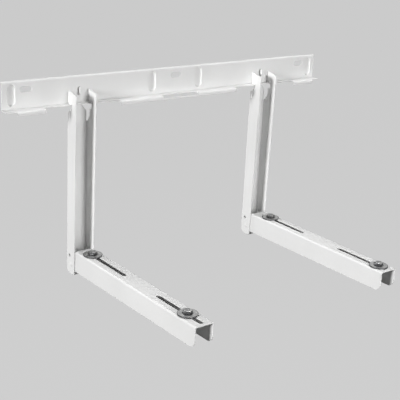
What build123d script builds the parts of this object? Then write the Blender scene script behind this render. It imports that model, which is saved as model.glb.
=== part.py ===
from build123d import *
from math import cos, pi, tan
import os

os.makedirs("parts", exist_ok=True)

# Wall bracket for the outdoor unit of an air conditioner, in millimetres.
# X runs along the wall rail, the wall is the plane Y = 0, the arms reach to -Y, +Z is up.
# The origin is the middle of the rail's centre slot, on the wall.

# Folded sheet steel
sheet = 2.0
bend = 2.0            # inside radius of every bend
fit_gap = 0.2         # between two sheets that slide past each other

# Wall rail
rail_length = 800.0
rail_top = 17.0
standoff = 3.0        # from the wall to the back of the rail's web
ledge_top = -37.0
ledge_reach = 29.0    # from the wall to the front of the lip
lip_height = 8.0      # from the top of the ledge to the lower edge of the lip
lip_end = 22.0        # the lip stops this far short of each end of the rail

wall_slot_end = 50.0  # from the rail's end to the middle of its end slot
wall_slot_length = 26.0
wall_slot_width = 11.0

groove_end = 19.0     # from the rail's end to the middle of its end groove
groove_inner = 60.0   # from the rail's middle to each inner groove
groove_width = 18.0
groove_bottom = -31.0
groove_top = 11.5
groove_slope = 35.0   # degrees, of its side walls
groove_spread = 1.0   # its boss behind the web is this much larger all round

centre_cut_half = 46.0
centre_cut_rear = 16.0
centre_strip = 3.0    # of the lip, left under the centre cut
centre_cut_radius = 5.0
end_cut_rear = 24.0
end_cut_radius = 4.0

# Uprights and where they hook into the rail
upright_pitch = 470.0
upright_width = 47.0
foot_drop = 8.0       # of the uprights below the arms
head_top_rear = -11.0
head_top_front = -17.0
head_reach = 36.0     # from the wall to the front of the flanges, at the head
head_radius = 3.0
foot_reach = 31.3     # the same at the bottom
foot_radius = 16.0
foot_front_radius = 4.0
foot_inset = 2.5      # from the front of the flanges to the front of the closed foot
head_cut_half = 85.0  # the ledge is set back this far each side of an upright
head_cut_rear = 17.5
head_cut_radius = 9.0
notch_depth = 18.3
notch_height = 12.5
notch_radius = 2.0
relief_rear = 11.0
relief_bottom = -80.0
relief_slant = 14.0
relief_radius = 4.0
bend_relief = 2.6     # of the flanges, round the bend of the rail's ledge
bend_relief_height = 3.0
tongue_half = 7.0
tongue_top = -4.0
tongue_radius = 2.0
tongue_root = 5.0     # below the top of the ledge
tongue_root_radius = 3.0
shoulder_drop = 13.0  # from the tongue's root down to the full width of the web

hook_neck = 8.0
hook_finger = 6.0
hook_gap = 0.3        # between a hook and the back of the rail's web
hook_slot_bottom = -30.0
hook_slot_height = 16.0
hook_slot_side = 0.6  # each side of the hook
hook_slot_corner = 0.5

key_slot_width = 7.0
key_slot_height = 17.0
key_slot_corner = 1.5
key_slot_middle = -13.5
key_tab_reach = 6.0
key_tab_height = 13.0
key_tab_lean = 0.8

# Arms
arm_top = -340.0
arm_reach = 438.0     # from the wall to the arm's tip
arm_gap = 0.7         # each side, between an arm and the upright that it sits in
arm_web_rear = 32.0   # from the wall to the rear edge of the top web
arm_rear = 4.6        # from the wall to the rear edge of the flanges
arm_depth_root = 44.0
arm_depth_tip = 41.0
arm_tip_radius = 14.0
arm_rear_radius = 8.0
arm_shoulder = 4.5    # the flanges behind the web are this much lower than its top
arm_shoulder_radius = 3.0
arm_step_radius = 2.0
arm_slot_width = 11.0
arm_slot_length = 138.0
arm_slot_from_rear = 18.0  # from the rear edge of the web to the rear slot
arm_slot_from_tip = 6.0    # from the tip to the front slot

# Rivets and holes through both flanges where an arm sits in an upright
rivet_body = 5.0
rivet_head = 9.0
rivet_dome = 1.6
rivet_y = -19.0
rivet_drop = 32.0     # below the top of the arm
hole_size = 6.5       # for a screw that keeps the arm from folding
hole_y = -13.0
hole_drop = 13.0

# Screws in the arm slots
screw_size = 10.0
screw_length = 30.0
hex_across = 16.0
head_height = 6.4
crown_across = 15.2   # of the flat on top of a head
screw_point = 1.0     # chamfer at its end
nut_height = 8.0
hole_clear = 0.5      # on the diameter, of washers over the screw
top_washer = 39.0
top_washer_thick = 2.5
low_washer = 30.0
low_washer_thick = 2.0
head_turn = 12.0      # degrees about the screw, as they happen to stand
nut_turn = 40.0
screw_in_rear_slot = {"left": 16.0, "right": 26.0}   # from the slot's rear end
screw_in_front_slot = {"left": 44.0, "right": 22.0}  # from the slot's front end

# Worked out from the above
half_pitch = upright_pitch / 2
flange_outer = upright_width / 2
flange_middle = flange_outer - sheet / 2
arm_width = upright_width - 2 * sheet - 2 * arm_gap
rail_front = standoff + sheet
lip_bottom = ledge_top - lip_height
side_middle = {"left": -half_pitch, "right": half_pitch}
upright_bottom = arm_top - arm_depth_root - foot_drop
rivet_z = arm_top - rivet_drop
hole_z = arm_top - hole_drop
rail_half = rail_length / 2
groove_places = (groove_end - rail_half, -groove_inner, groove_inner, rail_half - groove_end)
wall_slot_places = (wall_slot_end - rail_half, 0, rail_half - wall_slot_end)
web_inner_half = flange_outer - sheet - bend
rear_slot_start = arm_web_rear + arm_slot_from_rear
front_slot_start = arm_reach - arm_slot_from_tip
arm_slot_places = (-rear_slot_start - arm_slot_length / 2, arm_slot_length / 2 - front_slot_start)


def fold(points):
    """Section of a folded sheet whose mid-line runs through the points."""
    return trace(FilletPolyline(*points, radius=bend + sheet / 2), line_width=sheet)


def through_wall(shape, depth=60):
    """A shape drawn in X and Z, pushed out both ways from the wall."""
    return extrude(Plane.XZ * shape, depth, both=True)


def rounded_block(x, y, z, radius):
    """A block between pairs of limits, its upright edges rounded."""
    block = Box(x[1] - x[0], y[1] - y[0], z[1] - z[0])
    block = fillet(block.edges().filter_by(Axis.Z), radius)
    return Pos((x[0] + x[1]) / 2, (y[0] + y[1]) / 2, (z[0] + z[1]) / 2) * block


def rail_section():
    """Top return, web, ledge and lip of the rail in one section."""
    web = -(standoff + sheet / 2)
    return fold([
        (0, rail_top - sheet / 2),
        (web, rail_top - sheet / 2),
        (web, ledge_top - sheet / 2),
        (sheet / 2 - ledge_reach, ledge_top - sheet / 2),
        (sheet / 2 - ledge_reach, lip_bottom),
    ])


def groove_solid(half, start, depth, grow):
    """A round-ended shape that narrows with the groove's slope, towards the wall."""
    height = groove_top - groove_bottom + 2 * grow
    outline = SlotOverall(height, 2 * (half + grow), rotation=90)
    place = Plane(origin=(0, -start, (groove_top + groove_bottom) / 2), x_dir=(1, 0, 0), z_dir=(0, 1, 0))
    return extrude(place * outline, depth, taper=groove_slope)


def wall_groove():
    """What one groove adds behind the web and what it takes from the front."""
    half = groove_width / 2
    boss = groove_solid(half, standoff, standoff, groove_spread)
    pocket = groove_solid(half, rail_front, standoff, 0.0)
    return boss, pocket


def key_tab(x):
    """The tab lanced forward from the right side of a centre key slot."""
    web = -(standoff + sheet / 2)
    root = x + key_slot_width / 2
    section = fold([
        (root + bend, web),
        (root - sheet, web),
        (root - sheet - key_tab_lean, web - key_tab_reach),
    ])
    tab = extrude(section, key_tab_height / 2, both=True)
    return Pos(0, 0, key_slot_middle) * tab


def hook_slots(x):
    """The three slots through which an upright is keyed to the rail."""
    width = sheet + 2 * hook_slot_side
    middle = hook_slot_bottom + hook_slot_height / 2
    key_slot = RectangleRounded(key_slot_width, key_slot_height, key_slot_corner)
    hook_slot = RectangleRounded(width, hook_slot_height, hook_slot_corner)
    cuts = [through_wall(Pos(x, key_slot_middle) * key_slot)]
    for side in (-1, 1):
        cuts.append(through_wall(Pos(x + side * flange_middle, middle) * hook_slot))
    return cuts


def ledge_cuts():
    """Where the ledge and lip are cut back: the centre, each upright and both ends."""
    below = lip_bottom - 10
    above = ledge_top + 8
    front = -ledge_reach - 10
    cuts = [rounded_block(
        (-centre_cut_half, centre_cut_half), (front, -centre_cut_rear),
        (lip_bottom + centre_strip, above), centre_cut_radius)]
    for x in side_middle.values():
        cuts.append(rounded_block(
            (x - head_cut_half, x + head_cut_half), (front, -head_cut_rear), (below, above),
            head_cut_radius))
    for side in (-1, 1):
        edges = sorted((side * (rail_half - lip_end), side * (rail_half + 20)))
        cuts.append(rounded_block(edges, (front, -end_cut_rear), (below, above), end_cut_radius))
    return cuts


def wall_rail():
    """The folded rail that is screwed to the wall."""
    rail = extrude(Plane.YZ * rail_section(), rail_half, both=True)
    boss, pocket = wall_groove()
    for x in groove_places:
        rail = rail + Pos(x, 0, 0) * boss - Pos(x, 0, 0) * pocket
    for x in wall_slot_places:
        rail -= through_wall(Pos(x, 0) * SlotOverall(wall_slot_length, wall_slot_width), 8)
    for cut in ledge_cuts():
        rail -= cut
    for x in side_middle.values():
        for cut in hook_slots(x):
            rail -= cut
        rail += key_tab(x)
    return rail


def flange_outline():
    """Side view of an upright's flange: hooked head, notch, relief and round foot."""
    rear = -(rail_front + fit_gap)
    neck_bottom = hook_slot_bottom
    neck_top = neck_bottom + hook_neck
    hook_front = hook_gap - standoff
    hook_rear = hook_front + sheet
    notch_bottom = ledge_top - notch_height
    relief_top = relief_bottom + relief_slant
    return make_face(Polyline(
        (rear, head_top_rear),
        (-head_reach, head_top_front),
        (-foot_reach, upright_bottom),
        (0, upright_bottom),
        (0, relief_bottom),
        (-relief_rear, relief_top),
        (-relief_rear, notch_bottom),
        (-notch_depth, notch_bottom),
        (-notch_depth, ledge_top),
        (rear - bend_relief, ledge_top),
        (rear, ledge_top + bend_relief_height),
        (rear, neck_bottom),
        (hook_front, neck_bottom),
        (hook_front, neck_bottom - hook_finger),
        (hook_rear, neck_bottom - hook_finger),
        (hook_rear, neck_top),
        (rear, neck_top),
        (rear, head_top_rear),
    ))


def round_corners(face, corners):
    """Round named corners of a flat outline, each by its own radius."""
    for (across, up), radius in corners:
        near = face.vertices().sort_by_distance((across, up, 0))[0]
        face = fillet(near, radius)
    return face


def web_outline():
    """Front view of an upright's web: sloping shoulders up to a narrow tongue."""
    half = web_inner_half
    shoulder_top = ledge_top - tongue_root
    shoulder = shoulder_top - shoulder_drop
    foot = upright_bottom + foot_radius
    right = [(half, foot), (half, shoulder), (tongue_half, shoulder_top), (tongue_half, tongue_top)]
    left = [(-x, z) for x, z in reversed(right)]
    return make_face(Polyline(*right, *left, right[0]))


def closed_foot():
    """The web carried round the flanges' lower corners and forward under the arm."""
    front = foot_inset - foot_reach
    floor = upright_bottom + sheet / 2
    line = FilletPolyline(
        (-sheet / 2, upright_bottom + foot_radius + sheet), (-sheet / 2, floor), (front, floor),
        radius=foot_radius - sheet / 2)
    pan = extrude(Plane.YZ * trace(line, line_width=sheet), flange_outer - sheet / 2, both=True)
    height = 2 * foot_radius
    outside = Pos(0, -foot_reach, upright_bottom + height / 2) * Box(upright_width, 2 * foot_reach, height)
    rear_edges = outside.edges().filter_by(Axis.Z).group_by(Axis.Y)[-1]
    return pan & fillet(rear_edges, bend + sheet)


def upright(name):
    """A folded channel against the wall, its two flanges forward."""
    reach = head_reach + 1
    section = fold([
        (-flange_middle, -reach), (-flange_middle, -sheet / 2),
        (flange_middle, -sheet / 2), (flange_middle, -reach),
    ])
    channel = Pos(0, 0, upright_bottom) * extrude(section, tongue_top - upright_bottom)

    side_view = round_corners(flange_outline(), [
        ((0, upright_bottom), foot_radius),
        ((-foot_reach, upright_bottom), foot_front_radius),
        ((-head_reach, head_top_front), head_radius),
        ((-notch_depth, ledge_top - notch_height), notch_radius),
        ((-relief_rear, relief_bottom + relief_slant), relief_radius),
    ])
    flanges = extrude(Plane.YZ * side_view, flange_outer, both=True)
    flanges -= Pos(0, 0, upright_bottom / 2) * Box(2 * web_inner_half, 4 * head_reach, -2 * upright_bottom)

    front_view = web_outline()
    for x in (-tongue_half, tongue_half):
        front_view = round_corners(front_view, [
            ((x, tongue_top), tongue_radius), ((x, ledge_top - tongue_root), tongue_root_radius)])
    web = extrude(Plane.XZ * front_view, sheet)

    body = (channel & (flanges + web)) + closed_foot()
    return Pos(side_middle[name], 0, 0) * (body - cross_holes())


def cross_holes():
    """Round holes along X through both flanges, for the rivets and the locking screw."""
    across = 2 * upright_width
    rivets = Pos(0, rivet_y, rivet_z) * (Rot(0, 90, 0) * Cylinder(rivet_body / 2, across))
    return rivets + Pos(0, hole_y, hole_z) * (Rot(0, 90, 0) * Cylinder(hole_size / 2, across))


def arm_outline():
    """Side view of an arm: lower behind its top web, deeper at the root than the tip."""
    low = arm_top - arm_shoulder
    face = make_face(Polyline(
        (-arm_web_rear, arm_top), (-arm_reach, arm_top), (-arm_reach, arm_top - arm_depth_tip),
        (-arm_rear, arm_top - arm_depth_root), (-arm_rear, low), (-arm_web_rear, low),
        (-arm_web_rear, arm_top),
    ))
    return round_corners(face, [
        ((-arm_reach, arm_top - arm_depth_tip), arm_tip_radius),
        ((-arm_rear, arm_top - arm_depth_root), arm_rear_radius),
        ((-arm_rear, low), arm_shoulder_radius),
        ((-arm_web_rear, low), arm_step_radius),
    ])


def arm(name):
    """A folded channel, open below, that carries the unit's feet."""
    half = arm_width / 2 - sheet / 2
    top = arm_top - sheet / 2
    low = arm_top - arm_depth_root - 2
    section = fold([(-half, low), (-half, top), (half, top), (half, low)])
    channel = Pos(0, -arm_rear, 0) * extrude(Plane.XZ * section, arm_reach - arm_rear)
    body = channel & extrude(Plane.YZ * arm_outline(), arm_width, both=True)
    for y in arm_slot_places:
        slot = SlotOverall(arm_slot_length, arm_slot_width, rotation=90)
        body -= extrude(Pos(0, y, arm_top + 5) * slot, -12)
    return Pos(side_middle[name], 0, 0) * (body - cross_holes())


def rivet(side):
    """A rivet along X: low crowned head outside, formed head inside the arm."""
    outside = flange_outer
    inside = arm_width / 2 - sheet
    crown = rivet_head / 2 - rivet_dome
    formed = inside - rivet_dome
    section = make_face(Polyline(
        (outside, rivet_head / 2), (outside + rivet_dome, crown), (outside + rivet_dome, 0),
        (formed, 0), (formed, rivet_body / 2), (inside, rivet_head / 2 - 1), (inside, rivet_body / 2),
        (outside, rivet_body / 2), (outside, rivet_head / 2)))
    solid = Pos(0, rivet_y, rivet_z) * revolve(section, Axis.X)
    return solid if side > 0 else mirror(solid, about=Plane.YZ)


def hexagon(height):
    """A plain hexagon of the screws' width across flats, standing on Z = 0."""
    return extrude(RegularPolygon(hex_across / 2, 6, major_radius=False), height)


def crowned_hexagon(height):
    """A hexagon whose upper corners are taken down by a cone, as on a screw head."""
    across = hex_across / 2
    corner = across / cos(pi / 6)
    flat = crown_across / 2
    drop = (corner - flat) * tan(pi / 6)
    cone = make_face(Polyline(
        (0, 0), (corner, 0), (corner, height - drop), (flat, height), (0, height), (0, 0)))
    return hexagon(height) & revolve(Plane.XZ * cone, Axis.Z)


def screw():
    """A hexagon screw pointing down, the seat of its head at Z = 0."""
    shank = Cylinder(screw_size / 2, screw_length, align=(Align.CENTER, Align.CENTER, Align.MAX))
    shank = chamfer(shank.edges().group_by(Axis.Z)[0], screw_point)
    return crowned_hexagon(head_height) + shank


def washer(across, thick):
    """A flat washer lying on Z = 0."""
    ring = Circle(across / 2) - Circle((screw_size + hole_clear) / 2)
    return extrude(ring, thick)


def nut():
    """A hexagon nut hanging below Z = 0."""
    body = Rot(180, 0, 0) * hexagon(nut_height)
    return body - Cylinder(screw_size / 2, 4 * nut_height)


def arm_screw(x, y):
    """Screw, two washers and nut at one place in an arm's slot."""
    under = arm_top - sheet
    return {
        "screw": Pos(x, y, arm_top + top_washer_thick) * (Rot(0, 0, head_turn) * screw()),
        "top_washer": Pos(x, y, arm_top) * washer(top_washer, top_washer_thick),
        "low_washer": Pos(x, y, under - low_washer_thick) * washer(low_washer, low_washer_thick),
        "nut": Pos(x, y, under - low_washer_thick) * (Rot(0, 0, nut_turn) * nut()),
    }


def every_part():
    """All pieces by name, in their places."""
    parts = {"wall_rail": wall_rail()}
    for name, x in side_middle.items():
        parts[name + "_upright"] = upright(name)
        parts[name + "_arm"] = arm(name)
        for side, where in ((-1, "outer"), (1, "inner")):
            place = side if name == "left" else -side
            parts[name + "_" + where + "_rivet"] = Pos(x, 0, 0) * rivet(place)
        places = {"rear": -rear_slot_start - screw_in_rear_slot[name],
                  "front": screw_in_front_slot[name] - front_slot_start}
        for row, y in places.items():
            for piece, solid in arm_screw(x, y).items():
                parts[name + "_" + row + "_" + piece] = solid
    return parts


for node, shape in every_part().items():
    export_step(shape, "parts/" + node + ".step")
    print(node, len(shape.solids()), round(shape.volume), shape.bounding_box())
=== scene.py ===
import math
import bpy
from mathutils import Matrix, Vector


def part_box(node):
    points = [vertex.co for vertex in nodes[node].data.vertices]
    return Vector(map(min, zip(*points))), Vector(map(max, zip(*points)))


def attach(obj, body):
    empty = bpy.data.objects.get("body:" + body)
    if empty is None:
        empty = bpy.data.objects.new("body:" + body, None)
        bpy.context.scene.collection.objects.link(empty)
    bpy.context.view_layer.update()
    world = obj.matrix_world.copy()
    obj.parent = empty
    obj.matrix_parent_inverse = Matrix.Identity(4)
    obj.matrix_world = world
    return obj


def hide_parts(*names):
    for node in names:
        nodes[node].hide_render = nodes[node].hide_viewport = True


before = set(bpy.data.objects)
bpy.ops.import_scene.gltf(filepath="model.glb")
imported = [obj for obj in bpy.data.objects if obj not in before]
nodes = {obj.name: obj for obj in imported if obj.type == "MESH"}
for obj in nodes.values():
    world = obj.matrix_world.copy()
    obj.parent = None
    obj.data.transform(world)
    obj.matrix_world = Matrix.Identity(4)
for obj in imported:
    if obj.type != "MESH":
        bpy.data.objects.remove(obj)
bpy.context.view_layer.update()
scene = bpy.context.scene
MM = 0.001

# Fasteners, in millimetres and degrees. Painted shade on the zinc, which stands in for contact shade and
# dark reflections, runs from 0, none, to 1.
SMOOTH_ANGLE = 35.0
HEX_ACROSS = 16.0
HEX_CROWN = 0.95        # of the width across flats, left flat at a crowned end
HEX_SLOPE = 30.0        # of the cone that takes the corners off
HEX_POINTS = 72         # round each ring of a screw or nut
HEAD_HEIGHT = 6.4
HEAD_TURN = 12.0        # about the screw
HEAD_DISH = ((2.2, 0.55), (5.3, 0.5), (5.9, 0.0))   # radius, and depth below the top
FACE_RADIUS = 7.5       # of the washer face under a head
FACE_HEIGHT = 0.5
NECK_RADIUS = 4.9
# Painted shade on the screw's rings: a darker dish and near-black hex sides and washer face, in place of
# the dark reflections and contact shade round the head.
HEAD_PAINTED_SHADE = (0.35, 0.55, 0.10, 0.05, 0.80, 1.0, 1.0, 1.0, 1.0)     # from the dish to the neck
THREAD_PITCH = 1.5
THREAD_MAJOR = 4.97     # radii
THREAD_MINOR = 4.1
THREAD_CREST = 0.1      # flat at the crest, of half a pitch
THREAD_FLANK = 0.75     # slope, of half a pitch
THREAD_STEPS = 8        # rings to one pitch
THREAD_FADE = 1.2       # pitches below the head that the thread takes to reach full depth
# Painted shade on the thread, in place of the shade in its grooves.
THREAD_PAINTED_SHADE = 0.45
POINT_HEIGHT = 1.1      # of the chamfer at a screw's end
POINT_RADIUS = 2.0
NUT_TURN = 40.0
NUT_BORE = 5.02         # radius
NUT_SINK_RADIUS = 5.45
NUT_SINK = 0.45
# Painted shade on the nut's rings: darker sides and bore, in place of dark reflections and shade.
NUT_PAINTED_SHADE = (0.10, 0.60, 0.95, 0.95, 0.60, 0.60, 0.40)  # from the crowned face up and down the bore
WASHER_BORE = 10.5
WASHER_POINTS = 96
WASHER_TOP = 0.45       # radius of its upper edges
WASHER_LOW = 0.15       # chamfer of its lower edges
WASHER_STEPS = 4
WASHER_UNSHADED_INSET = 1.9      # from its edge in to where the painted shade on its top ends
# Painted shade on the washers: a dark ring round the head, dark rims, bore and underside, in place of
# contact shade and dark reflections; the open top stays light.
WASHER_TOP_PAINTED_SHADE = ((9.3, 0.95), (10.6, 0.35), (12.0, 0.05))    # radius on the top, and amount
RIM_PAINTED_SHADE = 0.95
BORE_PAINTED_SHADE = 0.9
UNDER_PAINTED_SHADE = 0.4
OPEN_TOP_PAINTED_SHADE = 0.05
RIVET_RADIUS = 4.5
RIVET_DOME = 1.6
RIVET_FLAT = 0.35       # radius of the flat on top of the dome
RIVET_STEPS = 8
RIVET_BODY = 2.5        # radius
RIVET_TAIL = 1.6        # height of the formed head
RIVET_FORMED = ((3.5, 0.0), (3.3, 0.7), (2.5, RIVET_TAIL))  # radius, and depth past its face
RIVET_POINTS = 40

# The coat and the light. The floor and the backdrop look the same pale grey.
EDGE_GAIN = 3.5         # how sharply the coat's edge mask rises with the lean of the normal
BACKGROUND = 0.604
FLOOR_BOUNCE = 0.04
FLOOR_GLOW = 0.594
FLOOR_HALF = 60.0
FLOOR_Z = -1.5
SKY_LIGHT = 0.05
LAMP_TARGET = (0, -0.1, -0.2)


# Materials

def new_material(name):
    """A material, its node tree and its principled shader."""
    mat = bpy.data.materials.new(name)
    mat.use_nodes = True
    return mat, mat.node_tree, mat.node_tree.nodes["Principled BSDF"]


def node(tree, kind, **values):
    """Adds a node and sets its properties, or its inputs by name."""
    made = tree.nodes.new(kind)
    for key, value in values.items():
        if hasattr(made, key):
            setattr(made, key, value)
        else:
            made.inputs[key.replace("_", " ")].default_value = value
    return made


def feed(tree, socket, value):
    """Links a socket, or sets a fixed number or colour."""
    if isinstance(value, bpy.types.NodeSocket):
        tree.links.new(value, socket)
    elif isinstance(value, (int, float)):
        socket.default_value = value
    else:
        socket.default_value = tuple(value) + (1,)


def noise(tree, place, scale, detail=3.0, rough=0.5, stretch=None):
    """Noise in the object's own metres; stretch squeezes it along an axis."""
    if stretch:
        mapping = node(tree, "ShaderNodeMapping")
        mapping.inputs["Scale"].default_value = stretch
        feed(tree, mapping.inputs["Vector"], place)
        place = mapping.outputs["Vector"]
    made = node(tree, "ShaderNodeTexNoise", Scale=scale, Detail=detail, Roughness=rough)
    feed(tree, made.inputs["Vector"], place)
    return made.outputs["Fac"]


def ramp(tree, value, stops):
    """Colour ramp through (position, grey or colour) stops."""
    made = node(tree, "ShaderNodeValToRGB")
    band = made.color_ramp
    while len(band.elements) < len(stops):
        band.elements.new(0.5)
    for element, (at, colour) in zip(band.elements, stops):
        element.position = at
        element.color = (colour,) * 3 + (1,) if isinstance(colour, float) else tuple(colour) + (1,)
    feed(tree, made.inputs["Fac"], value)
    return made.outputs["Color"]


def stretch_range(tree, value, low, high):
    """Maps the middle of a noise's range to low to high."""
    made = node(tree, "ShaderNodeMapRange", From_Min=0.3, From_Max=0.7, To_Min=low, To_Max=high)
    feed(tree, made.inputs["Value"], value)
    return made.outputs["Result"]


def mix(tree, factor, low, high):
    """Mixes two colours; each may be a socket or a fixed colour."""
    made = node(tree, "ShaderNodeMix", data_type="RGBA")
    for socket, value in ((made.inputs[0], factor), (made.inputs[6], low), (made.inputs[7], high)):
        feed(tree, socket, value)
    return made.outputs[2]


def math_node(tree, operation, a, b):
    made = node(tree, "ShaderNodeMath", operation=operation)
    feed(tree, made.inputs[0], a)
    feed(tree, made.inputs[1], b)
    return made.outputs[0]


def edge_mask(tree, radius):
    """About 0 on flat faces and 1 along edges, from how far a rounded normal leans."""
    bevel = node(tree, "ShaderNodeBevel", samples=6, Radius=radius)
    geometry = node(tree, "ShaderNodeNewGeometry")
    dot = node(tree, "ShaderNodeVectorMath", operation="DOT_PRODUCT")
    tree.links.new(bevel.outputs["Normal"], dot.inputs[0])
    tree.links.new(geometry.outputs["Normal"], dot.inputs[1])
    lean = math_node(tree, "SUBTRACT", 1.0, dot.outputs["Value"])
    mask = math_node(tree, "MULTIPLY", lean, EDGE_GAIN)
    mask.node.use_clamp = True
    return mask


def powder_coat():
    """White powder coat: soft orange peel, faint dust, thinner and duller at the edges."""
    mat, tree, shader = new_material("white_powder_coat")
    place = node(tree, "ShaderNodeTexCoord").outputs["Object"]
    tint = ramp(tree, noise(tree, place, 7.0, 4.0), [
        (0.35, (0.80, 0.80, 0.795)), (0.65, (0.845, 0.845, 0.84))])
    dust = ramp(tree, noise(tree, place, 55.0, 6.0, 0.62), [(0.56, 0.0), (0.74, 1.0)])
    dusted = mix(tree, math_node(tree, "MULTIPLY", dust, 0.10), tint, (0.70, 0.69, 0.665))
    patchy = ramp(tree, noise(tree, place, 240.0, 4.0), [(0.42, 0.15), (0.62, 1.0)])
    worn = math_node(tree, "MULTIPLY", edge_mask(tree, 0.9 * MM), patchy)
    colour = mix(tree, math_node(tree, "MULTIPLY", worn, 0.22), dusted, (0.60, 0.60, 0.60))
    tree.links.new(colour, shader.inputs["Base Color"])
    gloss = stretch_range(tree, noise(tree, place, 30.0, 5.0), 0.46, 0.60)
    tree.links.new(gloss, shader.inputs["Roughness"])
    rounded = node(tree, "ShaderNodeBevel", samples=6, Radius=0.3 * MM)
    bump = node(tree, "ShaderNodeBump", Strength=0.28, Distance=0.12 * MM)
    tree.links.new(noise(tree, place, 620.0, 2.0, 0.4), bump.inputs["Height"])
    tree.links.new(rounded.outputs["Normal"], bump.inputs["Normal"])
    tree.links.new(bump.outputs["Normal"], shader.inputs["Normal"])
    return mat


def zinc_plate():
    """Zinc plated steel: cool grey clouds, pits, fine tool marks, and painted shade where the mesh says,
    dark on hex sides, washer rims and round the heads in place of contact shade and dark reflections.
    """
    mat, tree, shader = new_material("zinc_plate")
    place = node(tree, "ShaderNodeTexCoord").outputs["Object"]
    tint = ramp(tree, noise(tree, place, 130.0, 5.0, 0.6), [
        (0.32, (0.40, 0.405, 0.41)), (0.52, (0.53, 0.535, 0.53)), (0.70, (0.66, 0.65, 0.615))])
    pits = ramp(tree, noise(tree, place, 900.0, 3.0), [(0.36, 1.0), (0.46, 0.0)])
    colour = mix(tree, math_node(tree, "MULTIPLY", pits, 0.40), tint, (0.14, 0.14, 0.138))
    # Painted shade: the mesh's amounts for each point darken the zinc to near black, broken up by a
    # noise, in place of contact shade and dark reflections.
    painted_shade = node(tree, "ShaderNodeAttribute", attribute_name="painted_shade").outputs["Fac"]
    shade_breakup = ramp(tree, noise(tree, place, 420.0, 4.0), [(0.30, 0.72), (0.60, 1.0)])
    colour = mix(tree, math_node(tree, "MULTIPLY", painted_shade, shade_breakup), colour, (0.055, 0.055, 0.06))
    tree.links.new(colour, shader.inputs["Base Color"])
    shader.inputs["Metallic"].default_value = 1.0
    gloss = stretch_range(tree, noise(tree, place, 300.0, 4.0), 0.30, 0.46)
    tree.links.new(gloss, shader.inputs["Roughness"])
    marks = noise(tree, place, 1400.0, 3.0, 0.6, stretch=(1.0, 0.12, 1.0))
    bump = node(tree, "ShaderNodeBump", Strength=0.22, Distance=0.08 * MM)
    tree.links.new(marks, bump.inputs["Height"])
    tree.links.new(bump.outputs["Normal"], shader.inputs["Normal"])
    return mat


# Meshes

def add_piece(name, verts, faces, material, painted_shade=None):
    """A mesh object at the origin that rides on the body, with an optional amount of painted shade for
    each point.
    """
    mesh = bpy.data.meshes.new(name)
    mesh.from_pydata(verts, [], faces)
    mesh.validate()
    mesh.materials.append(material)
    for polygon in mesh.polygons:
        polygon.use_smooth = True
    mesh.set_sharp_from_angle(angle=math.radians(SMOOTH_ANGLE))
    # Stores the painted shade amounts as a point attribute for the zinc material.
    if painted_shade:
        mesh.attributes.new("painted_shade", "FLOAT", "POINT").data.foreach_set("value", painted_shade)
    obj = bpy.data.objects.new(name, mesh)
    scene.collection.objects.link(obj)
    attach(obj, "root")
    return obj


def rings_to_mesh(rings, closed=False):
    """Joins rings of equal length into quads, in a loop or with a cap at each end."""
    count = len(rings[0])
    verts = [point for ring in rings for point in ring]
    pairs = list(zip(range(len(rings) - 1), range(1, len(rings))))
    if closed:
        pairs.append((len(rings) - 1, 0))
    faces = []
    for a, b in pairs:
        for i in range(count):
            j = (i + 1) % count
            faces.append((a * count + i, a * count + j, b * count + j, b * count + i))
    if not closed:
        last = (len(rings) - 1) * count
        faces.append(tuple(reversed(range(count))))
        faces.append(tuple(range(last, last + count)))
    return verts, faces


def per_point(amounts, count):
    """One amount for each ring, repeated for each of its points."""
    return [amount for amount in amounts for _ in range(count)]


def angles(count):
    return [math.tau * i / count for i in range(count)]


def circle(radius, z, count):
    return [(radius * math.cos(a), radius * math.sin(a), z) for a in angles(count)]


def hexagon_radius(angle):
    """Distance from the axis to a hexagon's side in a direction."""
    sector = math.tau / 6
    return HEX_ACROSS / 2 / math.cos(angle % sector - sector / 2)


def hexagon_rings(plain, crowned):
    """Rings of a hexagon from its plain end to the end whose corners a cone takes off."""
    crown = HEX_ACROSS / 2 * HEX_CROWN
    slope = math.tan(math.radians(HEX_SLOPE)) * (1 if crowned > plain else -1)
    plain_end, shoulder, crowned_end = [], [], []
    for a in angles(HEX_POINTS):
        radius = hexagon_radius(a)
        flat = min(radius, crown)
        x, y = math.cos(a), math.sin(a)
        plain_end.append((radius * x, radius * y, plain))
        shoulder.append((radius * x, radius * y, crowned - max(0.0, radius - crown) * slope))
        crowned_end.append((flat * x, flat * y, crowned))
    return [plain_end, shoulder, crowned_end]


def placed(verts, place, turn):
    """Points in millimetres, turned and moved, in metres."""
    move = Matrix.Translation(place) @ turn @ Matrix.Scale(MM, 4)
    return [tuple(move @ Vector(v)) for v in verts]


def thread_ring(row, length):
    """One ring of the thread, which deepens under the head and tapers at the end."""
    z = -row * THREAD_PITCH / THREAD_STEPS
    fade = min(1.0, row / (THREAD_FADE * THREAD_STEPS))
    taper = max(0.0, 1.0 - (length + z) / POINT_HEIGHT)
    ring = []
    for i, a in enumerate(angles(HEX_POINTS)):
        wave = abs(2 * ((-z / THREAD_PITCH + i / HEX_POINTS) % 1.0) - 1)
        wave = min(1.0, max(0.0, (wave - THREAD_CREST) / THREAD_FLANK))
        radius = THREAD_MAJOR - (THREAD_MAJOR - THREAD_MINOR) * wave * fade
        radius = min(radius, THREAD_MAJOR - taper)
        ring.append((radius * math.cos(a), radius * math.sin(a), z))
    return ring


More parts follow.
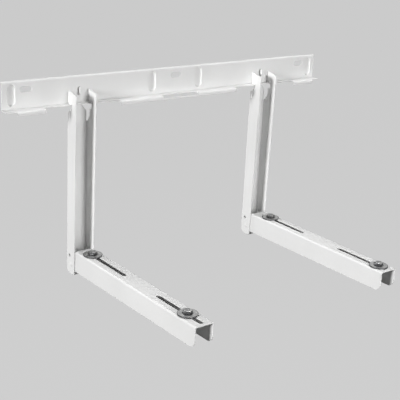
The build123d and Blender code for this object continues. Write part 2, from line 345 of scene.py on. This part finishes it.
def screw_mesh(length):
    """Head with a shallow dish, washer face, then an M10 thread down to a chamfered end."""
    rings = [circle(radius, HEAD_HEIGHT - depth, HEX_POINTS) for radius, depth in HEAD_DISH]
    rings += reversed(hexagon_rings(FACE_HEIGHT, HEAD_HEIGHT))
    for radius, z in ((FACE_RADIUS, FACE_HEIGHT), (FACE_RADIUS, 0.0), (NECK_RADIUS, 0.0)):
        rings.append(circle(radius, z, HEX_POINTS))
    rows = int(length / THREAD_PITCH * THREAD_STEPS)
    rings += [thread_ring(row, length) for row in range(1, rows + 1)]
    rings.append(circle(POINT_RADIUS, -length, HEX_POINTS))
    # Painted shade for each ring of the screw.
    painted_shade = HEAD_PAINTED_SHADE + (THREAD_PAINTED_SHADE,) * (rows + 1)
    return *rings_to_mesh(rings), per_point(painted_shade, HEX_POINTS)


def nut_mesh(height):
    """Hexagon nut hanging below Z = 0, crowned below, with a countersunk bore."""
    rings = list(reversed(hexagon_rings(0.0, -height)))
    for radius, z in ((NUT_SINK_RADIUS, 0.0), (NUT_BORE, -NUT_SINK),
                      (NUT_BORE, -height + NUT_SINK), (NUT_SINK_RADIUS, -height)):
        rings.append(circle(radius, z, HEX_POINTS))
    # With painted shade for each ring of the nut.
    return *rings_to_mesh(rings, closed=True), per_point(NUT_PAINTED_SHADE, HEX_POINTS)


def washer_mesh(across, thick):
    """Stamped washer: rounded over on top, sharper below where the punch left it."""
    outer, bore = across / 2, WASHER_BORE / 2
    rounding = []
    for i in range(WASHER_STEPS + 1):
        a = math.pi / 2 * i / WASHER_STEPS
        rounding.append((WASHER_TOP * (1 - math.sin(a)), thick - WASHER_TOP * (1 - math.cos(a))))
    # Each ring of the section carries its amount of painted shade.
    section = [(outer - inset, z, RIM_PAINTED_SHADE) for inset, z in rounding]
    section += [(outer, WASHER_LOW, RIM_PAINTED_SHADE), (outer - WASHER_LOW, 0.0, UNDER_PAINTED_SHADE),
                (bore + WASHER_LOW, 0.0, UNDER_PAINTED_SHADE), (bore, WASHER_LOW, BORE_PAINTED_SHADE)]
    section += [(bore + inset, z, BORE_PAINTED_SHADE) for inset, z in reversed(rounding)]
    section += [(radius, thick, amount) for radius, amount in WASHER_TOP_PAINTED_SHADE]
    section.append((outer - WASHER_UNSHADED_INSET, thick, OPEN_TOP_PAINTED_SHADE))
    rings = [circle(radius, z, WASHER_POINTS) for radius, z, _ in section]
    painted_shade = [amount for _, _, amount in section]
    return *rings_to_mesh(rings, closed=True), per_point(painted_shade, WASHER_POINTS)


def rivet_mesh(length):
    """Domed head along +Z from 0, body below it, and a formed head at its far end."""
    ball = (RIVET_RADIUS ** 2 + RIVET_DOME ** 2) / (2 * RIVET_DOME)
    widest = math.asin(RIVET_RADIUS / ball)
    section = [(RIVET_FLAT, RIVET_DOME)]
    for i in range(1, RIVET_STEPS + 1):
        a = widest * i / RIVET_STEPS
        section.append((ball * math.sin(a), RIVET_DOME - ball * (1 - math.cos(a))))
    face = RIVET_DOME - length + RIVET_TAIL
    section += [(RIVET_BODY, 0.0), (RIVET_BODY, face)]
    section += [(radius, face - depth) for radius, depth in RIVET_FORMED]
    return rings_to_mesh([circle(radius, z, RIVET_POINTS) for radius, z in section])


def dress_screws(place):
    """Screw, nut and washers in place of the plain solids, each where its solid is."""
    low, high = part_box(place + "_top_washer")
    under, under_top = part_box(place + "_low_washer")
    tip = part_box(place + "_screw")[0].z
    nut_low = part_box(place + "_nut")[0].z
    wide_washer = washer_mesh((high.x - low.x) / MM, (high.z - low.z) / MM)
    small_washer = washer_mesh((under_top.x - under.x) / MM, (under_top.z - under.z) / MM)
    jobs = [
        ("screw", screw_mesh((high.z - tip) / MM), high.z, HEAD_TURN),
        ("nut", nut_mesh((under.z - nut_low) / MM), under.z, NUT_TURN),
        ("top_washer", wide_washer, low.z, 0.0),
        ("low_washer", small_washer, under.z, 0.0),
    ]
    for kind, (verts, faces, painted_shade), z, angle in jobs:
        spot = Vector(((low.x + high.x) / 2, (low.y + high.y) / 2, z))
        points = placed(verts, spot, Matrix.Rotation(math.radians(angle), 4, "Z"))
        piece = add_piece(f"{place}_{kind}_dressed", points, faces, ZINC, painted_shade)
        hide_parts(f"{place}_{kind}")


def dress_rivet(side, where):
    """A rivet whose domed head is on the outside of its upright's flange."""
    name = f"{side}_{where}_rivet"
    low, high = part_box(name)
    outward = -1 if (side == "left") == (where == "outer") else 1
    head = low.x + RIVET_DOME * MM if outward < 0 else high.x - RIVET_DOME * MM
    centre = Vector((head, (low.y + high.y) / 2, (low.z + high.z) / 2))
    verts, faces = rivet_mesh((high.x - low.x) / MM)
    points = placed(verts, centre, Matrix.Rotation(outward * math.pi / 2, 4, "Y"))
    piece = add_piece(name + "_dressed", points, faces, COAT)
    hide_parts(name)


# Floor, light and camera

def seen_directly(tree):
    """1 for rays from the camera, in reflections and through glass, and 0 for light itself."""
    path = tree.nodes.new("ShaderNodeLightPath")
    seen = math_node(tree, "MAXIMUM", path.outputs["Is Camera Ray"], path.outputs["Is Transmission Ray"])
    return math_node(tree, "MAXIMUM", seen, path.outputs["Is Glossy Ray"])


def make_floor():
    """A wide pale floor well below the bracket, which hangs on a wall."""
    corners = [(-1, -1), (1, -1), (1, 1), (-1, 1)]
    mesh = bpy.data.meshes.new("floor")
    mesh.from_pydata([(FLOOR_HALF * x, FLOOR_HALF * y, FLOOR_Z) for x, y in corners], [], [(0, 1, 2, 3)])
    floor = bpy.data.objects.new("floor", mesh)
    scene.collection.objects.link(floor)
    mat, tree, shader = new_material("floor")
    shader.inputs["Base Color"].default_value = (FLOOR_BOUNCE,) * 3 + (1,)
    shader.inputs["Emission Color"].default_value = (1, 1, 1, 1)
    glow = math_node(tree, "MULTIPLY", seen_directly(tree), FLOOR_GLOW)
    tree.links.new(glow, shader.inputs["Emission Strength"])
    shader.inputs["Roughness"].default_value = 1.0
    shader.inputs["Specular IOR Level"].default_value = 0.0
    mesh.materials.append(mat)


def make_softbox(name, place, size, power, spread=180):
    """A square lamp that faces the bracket, with its beam narrowed where a spread is given."""
    light = bpy.data.lights.new(name, "AREA")
    light.shape = "SQUARE"
    light.size = size
    light.energy = power
    light.spread = math.radians(spread)
    lamp = bpy.data.objects.new(name, light)
    scene.collection.objects.link(lamp)
    lamp.location = place
    lamp.rotation_euler = (Vector(place) - Vector(LAMP_TARGET)).to_track_quat("Z", "Y").to_euler()


def make_world():
    """Low even light on the bracket; the camera and reflections see the pale ground colour."""
    world = bpy.data.worlds.new("world")
    world.use_nodes = True
    scene.world = world
    tree = world.node_tree
    colour = mix(tree, seen_directly(tree), (SKY_LIGHT,) * 3, (BACKGROUND,) * 3)
    tree.links.new(colour, tree.nodes["Background"].inputs["Color"])


def make_camera():
    """The photograph's view, worked out from the rail, uprights and arms."""
    yaw, pitch, roll = 0.667, -0.3221, 0.05074
    eye = Vector((-1.161, -1.583, 0.3783))
    focal, frame_width = 939.1, 400     # in the photograph's pixels
    level = Vector((math.sin(yaw), math.cos(yaw), 0))
    right = Vector((math.cos(yaw), -math.sin(yaw), 0))
    ahead = level * math.cos(pitch) + Vector((0, 0, math.sin(pitch)))
    up = Vector((0, 0, math.cos(pitch))) - level * math.sin(pitch)
    right, up = right * math.cos(roll) + up * math.sin(roll), up * math.cos(roll) - right * math.sin(roll)
    camera = bpy.data.cameras.new("camera")
    camera.sensor_fit = "HORIZONTAL"
    camera.sensor_width = 36
    camera.lens = focal / frame_width * camera.sensor_width
    camera.clip_end = 200
    obj = bpy.data.objects.new("camera", camera)
    scene.collection.objects.link(obj)
    obj.matrix_world = Matrix.Translation(eye) @ Matrix((right, up, -ahead)).transposed().to_4x4()
    scene.camera = obj


COAT = powder_coat()
ZINC = zinc_plate()
for name, obj in nodes.items():
    obj.data.materials.clear()
    obj.data.materials.append(ZINC if name.endswith(("screw", "washer", "nut")) else COAT)
for side in ("left", "right"):
    for row in ("rear", "front"):
        dress_screws(f"{side}_{row}")
for side in ("left", "right"):
    for where in ("outer", "inner"):
        dress_rivet(side, where)

make_floor()
make_softbox("left_softbox", (-12.0, -2.2, 2.4), 2.5, 148, spread=60)
make_softbox("front_softbox", (0.6, -3.0, 0.45), 1.2, 39)
make_softbox("low_softbox", (0.2, -3.5, -0.75), 1.3, 20)
make_softbox("top_softbox", (0.8, 0.35, 3.0), 1.0, 50)
make_softbox("back_softbox", (-1.2, 5.8, 1.6), 1.5, 15, spread=60)
make_softbox("right_softbox", (9.0, -1.2, 2.0), 1.5, 16, spread=60)
make_world()
make_camera()
scene.view_settings.view_transform = "Standard"
